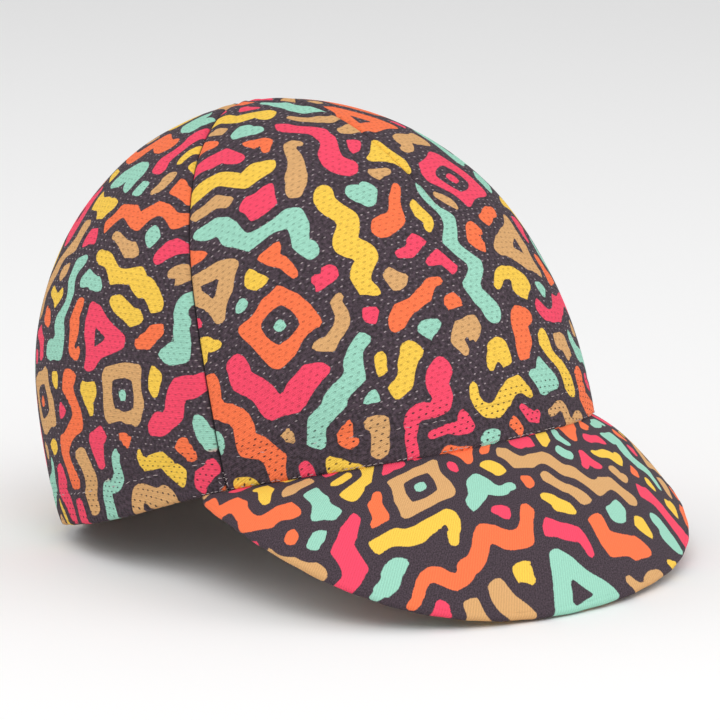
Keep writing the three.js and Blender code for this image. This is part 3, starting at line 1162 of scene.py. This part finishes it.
def peak_flat(across, out):
    """The cut of the peak: its real length across at the middle, and its real length from hem to rim."""
    width_walk = np.linspace(-1, 1, 201)
    line = peak_surface(width_walk, np.full_like(width_walk, PEAK_MIDDLE))
    steps = np.linalg.norm(np.diff(line, axis=0), axis=1)
    walked = np.concatenate([[0], np.cumsum(steps)])
    sideways = np.interp(across, width_walk, walked - walked[-1] / 2)
    rim, hem = (peak_surface(width_walk, np.full_like(width_walk, end)) for end in (1, 0))
    lengths = np.linalg.norm(rim - hem, axis=1)
    return np.stack([sideways, out * np.interp(across, width_walk, lengths)], axis=-1)


PEAK_COLUMNS = 230
PEAK_ROWS = 64
PEAK_FIELD = np.array([[-140, -20], [140, 90]])
PEAK_PRINT = plan_print(PEAK_FIELD, 5)
UNDER_PRINT = plan_print(PEAK_FIELD, 8)
RIM_SHARE = 0.975
MERGE_WITHIN = 2e-5


def merge_corners(close_ends):
    """Merges doubled corners of the selected piece, closes its ends if asked, and turns it outwards."""
    bpy.ops.object.mode_set(mode="EDIT")
    bpy.ops.mesh.select_all(action="SELECT")
    bpy.ops.mesh.remove_doubles(threshold=MERGE_WITHIN)
    if close_ends:
        bpy.ops.mesh.select_all(action="DESELECT")
        bpy.ops.mesh.select_mode(type="EDGE")
        bpy.ops.mesh.select_non_manifold()
        bpy.ops.mesh.fill()
        bpy.ops.mesh.select_all(action="SELECT")
    bpy.ops.mesh.normals_make_consistent(inside=False)
    bpy.ops.object.mode_set(mode="OBJECT")


def make_peak_cloth(node, depth, thickness, plan):
    across, along = grid_numbers(PEAK_COLUMNS, PEAK_ROWS)
    side, out = 2 * across - 1, along * RIM_SHARE
    piece = add_grid(node + "_cloth", PEAK_COLUMNS, PEAK_ROWS)
    drape(piece, peak_point(side, out, depth + thickness / 2))
    flat = peak_flat(side, out)
    lay_flat_map(piece, flat)
    inside, colour = draw_print(flat, plan)
    store_print(piece, even_slope(inside, flat, PEAK_COLUMNS), colour)
    piece.data.materials.append(peak_twill)
    cut = cut_of(piece)
    thicken(piece, thickness)
    merge_corners(False)
    flatten_on_floor(piece)
    bpy.ops.object.shade_smooth()
    declare_cloth(piece, cut, node)


make_peak_cloth("peak_top", 0, PEAK_TOP_CLOTH, PEAK_PRINT)
make_peak_cloth("peak_underside", PEAK_THICKNESS - PEAK_UNDER_CLOTH, PEAK_UNDER_CLOTH, UNDER_PRINT)

# %% The rolled edge along the rim
RIM_COLUMNS = 260
RIM_SIDES = 22
RIM_RADIUS = 1.55
RIM_SEAM = -0.7
RIM_SEAM_DEPTH = 0.14
RIM_SEAM_WIDTH = 0.2
RIM_TAPER = 0.03
RIM_THIN_END = 0.15


def make_rim():
    """A closed roll round the rim. The grid's rows go round it, from its inner side over the top.

    The upper cloth's print runs on over the roll to a seam under it, where the lower print starts.
    """
    across, along = grid_numbers(RIM_COLUMNS, RIM_SIDES)
    side = 2 * across - 1
    rim = np.full_like(side, RIM_SHARE)
    end_taper = np.sqrt(np.clip((1 - np.abs(side)) / RIM_TAPER, RIM_THIN_END, 1))
    round_it = math.pi * (1 - 2 * along)
    normal = peak_normal(side, rim)
    outward = peak_surface(side, np.ones_like(side)) - peak_surface(side, np.full_like(side, 0.9))
    outward -= (outward * normal).sum(axis=1, keepdims=True) * normal
    outward /= np.maximum(np.linalg.norm(outward, axis=1, keepdims=True), 1e-6)
    lump = 1 + 0.05 * np.sin(90 * side) + 0.04 * np.sin(41 * side + 1)
    seam = 1 - RIM_SEAM_DEPTH * np.exp(-(((round_it - RIM_SEAM) / RIM_SEAM_WIDTH) ** 2))
    centre = peak_surface(side, rim) + (peak_waves(side, rim) - PEAK_THICKNESS / 2)[:, None] * normal
    roll = np.cos(round_it)[:, None] * outward + np.sin(round_it)[:, None] * normal
    piece = add_grid("peak_rolled_edge", RIM_COLUMNS, RIM_SIDES)
    drape(piece, world(centre + (RIM_RADIUS * end_taper * lump * seam)[:, None] * roll))
    upper = round_it > RIM_SEAM
    flat = peak_flat(side, rim)
    flat[:, 1] += RIM_RADIUS * (math.pi / 2 - np.where(upper, round_it, -round_it))
    lay_flat_map(piece, flat)
    inside, colour = draw_print(flat, PEAK_PRINT)
    inside[~upper], colour[~upper] = draw_print(flat[~upper], UNDER_PRINT)
    store_print(piece, inside, colour)
    piece.data.materials.append(peak_twill)
    merge_corners(True)
    flatten_on_floor(piece)
    bpy.ops.object.shade_smooth()
    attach(piece, "root")
    print("rolled edge:", len(piece.data.polygons), "faces")


make_rim()

# %% [markdown]
# ## Stitches
# A lighter thread holds the peak to the hem, and a row of it holds the hem's fold. One stitch is a
# short bar with pulled-in ends. It is modelled once and copied along each row, and each row is one
# mesh.


# %% One stitch, and a row of them
END_TAPER = 0.35
END_SINK = 0.45
STITCH_TURN = 0.3
LINE_POINTS = 700
stitch_chance = np.random.default_rng(3)


def one_stitch(length, thickness):
    """Corners and faces of a stitch along X, in millimetres."""
    bpy.ops.object.select_all(action="DESELECT")
    bpy.ops.mesh.primitive_cylinder_add(
        vertices=6, radius=thickness / 2, depth=length, rotation=(0, math.pi / 2, 0)
    )
    bar = bpy.context.object
    bpy.ops.object.transform_apply(location=False, rotation=True, scale=False)
    bpy.ops.object.mode_set(mode="EDIT")
    bpy.ops.mesh.select_all(action="SELECT")
    bpy.ops.mesh.bisect(plane_co=(0, 0, 0), plane_no=(1, 0, 0))
    bpy.ops.object.mode_set(mode="OBJECT")
    corners = np.array([v.co[:] for v in bar.data.vertices])
    faces = [tuple(f.vertices) for f in bar.data.polygons]
    bpy.data.objects.remove(bar)
    ends = np.abs(corners[:, 0]) / (length / 2)
    corners[:, 1:] *= 1 - END_TAPER * ends[:, None]
    corners[:, 2] -= END_SINK * thickness * ends**2
    return corners, faces


def stitch_row(name, line, outwards, length, gap, thickness, kept):
    """Stitches along a line of points in metres; kept is the share of them that shows."""
    corners, faces = one_stitch(length, thickness)
    steps = np.linalg.norm(np.diff(line, axis=0), axis=1) * 1000
    walked = np.concatenate([[0], np.cumsum(steps)])
    starts = np.arange(length, walked[-1] - length, length + gap)
    all_corners, all_faces = [], []
    for start in starts:
        if stitch_chance.uniform() > kept:
            continue
        here = np.array([np.interp(start, walked, line[:, k]) for k in range(3)])
        ahead = np.array([np.interp(start + 1, walked, line[:, k]) for k in range(3)]) - here
        ahead /= np.linalg.norm(ahead)
        up = np.array([np.interp(start, walked, outwards[:, k]) for k in range(3)])
        up -= up.dot(ahead) * ahead
        up /= np.linalg.norm(up)
        turned = stitch_chance.uniform(-STITCH_TURN, STITCH_TURN)
        across = np.cross(up, ahead)
        along = ahead * math.cos(turned) + across * math.sin(turned)
        across = np.cross(up, along)
        place = corners @ np.array([along, across, up]) / 1000 + here
        first = sum(len(c) for c in all_corners)
        all_corners.append(place)
        all_faces.extend(tuple(first + k for k in face) for face in faces)
    mesh = bpy.data.meshes.new(name)
    mesh.from_pydata(np.concatenate(all_corners).tolist(), [], all_faces)
    row = bpy.data.objects.new(name, mesh)
    bpy.context.collection.objects.link(row)
    mesh.materials.append(light_thread)
    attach(row, "root")
    print("%s: %d stitches" % (name, len(all_corners)))


def line_over(angle, share, lift):
    """A line lift millimetres over the crown's cloth, and the outward direction along it."""
    line = cloth_point(angle, share, -lift)
    outwards = line - cloth_point(angle, share, 1 - lift)
    return line, outwards / np.linalg.norm(outwards, axis=1, keepdims=True)


def hem_line(first_angle, last_angle, rise, lift):
    """The same along the hem, at one height over its edge."""
    angle = np.linspace(first_angle, last_angle, LINE_POINTS)
    return line_over(angle, share_at(angle, rise), lift)


# %% The rows of stitches
PEAK_SEAM_RISE = 0.8
HEM_SEAM_RISE = 10.3
CLEAR_OF_BAR = 0.02
peak_seam = hem_line(-PEAK_END, PEAK_END, PEAK_SEAM_RISE, 0.1)
back_fold = hem_line(SIDE_SEAM + CLEAR_OF_BAR, SEAM_ROUND_BACK - CLEAR_OF_BAR, HEM_SEAM_RISE, 0.02)
front_fold = hem_line(-SIDE_SEAM, SIDE_SEAM, HEM_SEAM_RISE, 0.0)
stitch_row("peak_seam_stitches", *peak_seam, length=1.3, gap=0.6, thickness=0.24, kept=0.6)
stitch_row("back_hem_stitches", *back_fold, length=2.4, gap=1.2, thickness=0.3, kept=0.45)
stitch_row("front_hem_stitches", *front_fold, length=2.0, gap=1.0, thickness=0.24, kept=0.35)

# %% The bar of thread at the foot of each side seam
BAR_TURNS = 7
BAR_HALF_WIDTH = 0.02
BAR_FOOT = 0.9
BAR_HEIGHT = 5.5
BAR_POINTS = 300
BAR_LIFT = 0.15


def seam_bar(name, seam_angle):
    """A zigzag of thread that holds the seam's end together over the hem's edge."""
    climb = np.linspace(0, 1, BAR_POINTS)
    swing = np.abs((climb * BAR_TURNS) % 2 - 1) * 2 - 1
    angle = seam_angle + BAR_HALF_WIDTH * swing
    share = share_at(angle, BAR_FOOT + BAR_HEIGHT * climb)
    stitch_row(name, *line_over(angle, share, BAR_LIFT), length=1.3, gap=0.25, thickness=0.3, kept=0.85)


seam_bar("seam_bar_left", SIDE_SEAM)
seam_bar("seam_bar_right", -SIDE_SEAM)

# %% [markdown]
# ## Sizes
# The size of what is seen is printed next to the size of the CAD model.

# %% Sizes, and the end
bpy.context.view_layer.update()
for low_high, cad, seen in zip(("lowest", "highest"), cad_box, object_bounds()):
    print(low_high, "CAD", [round(v, 4) for v in cad], "seen", [round(v, 4) for v in seen])
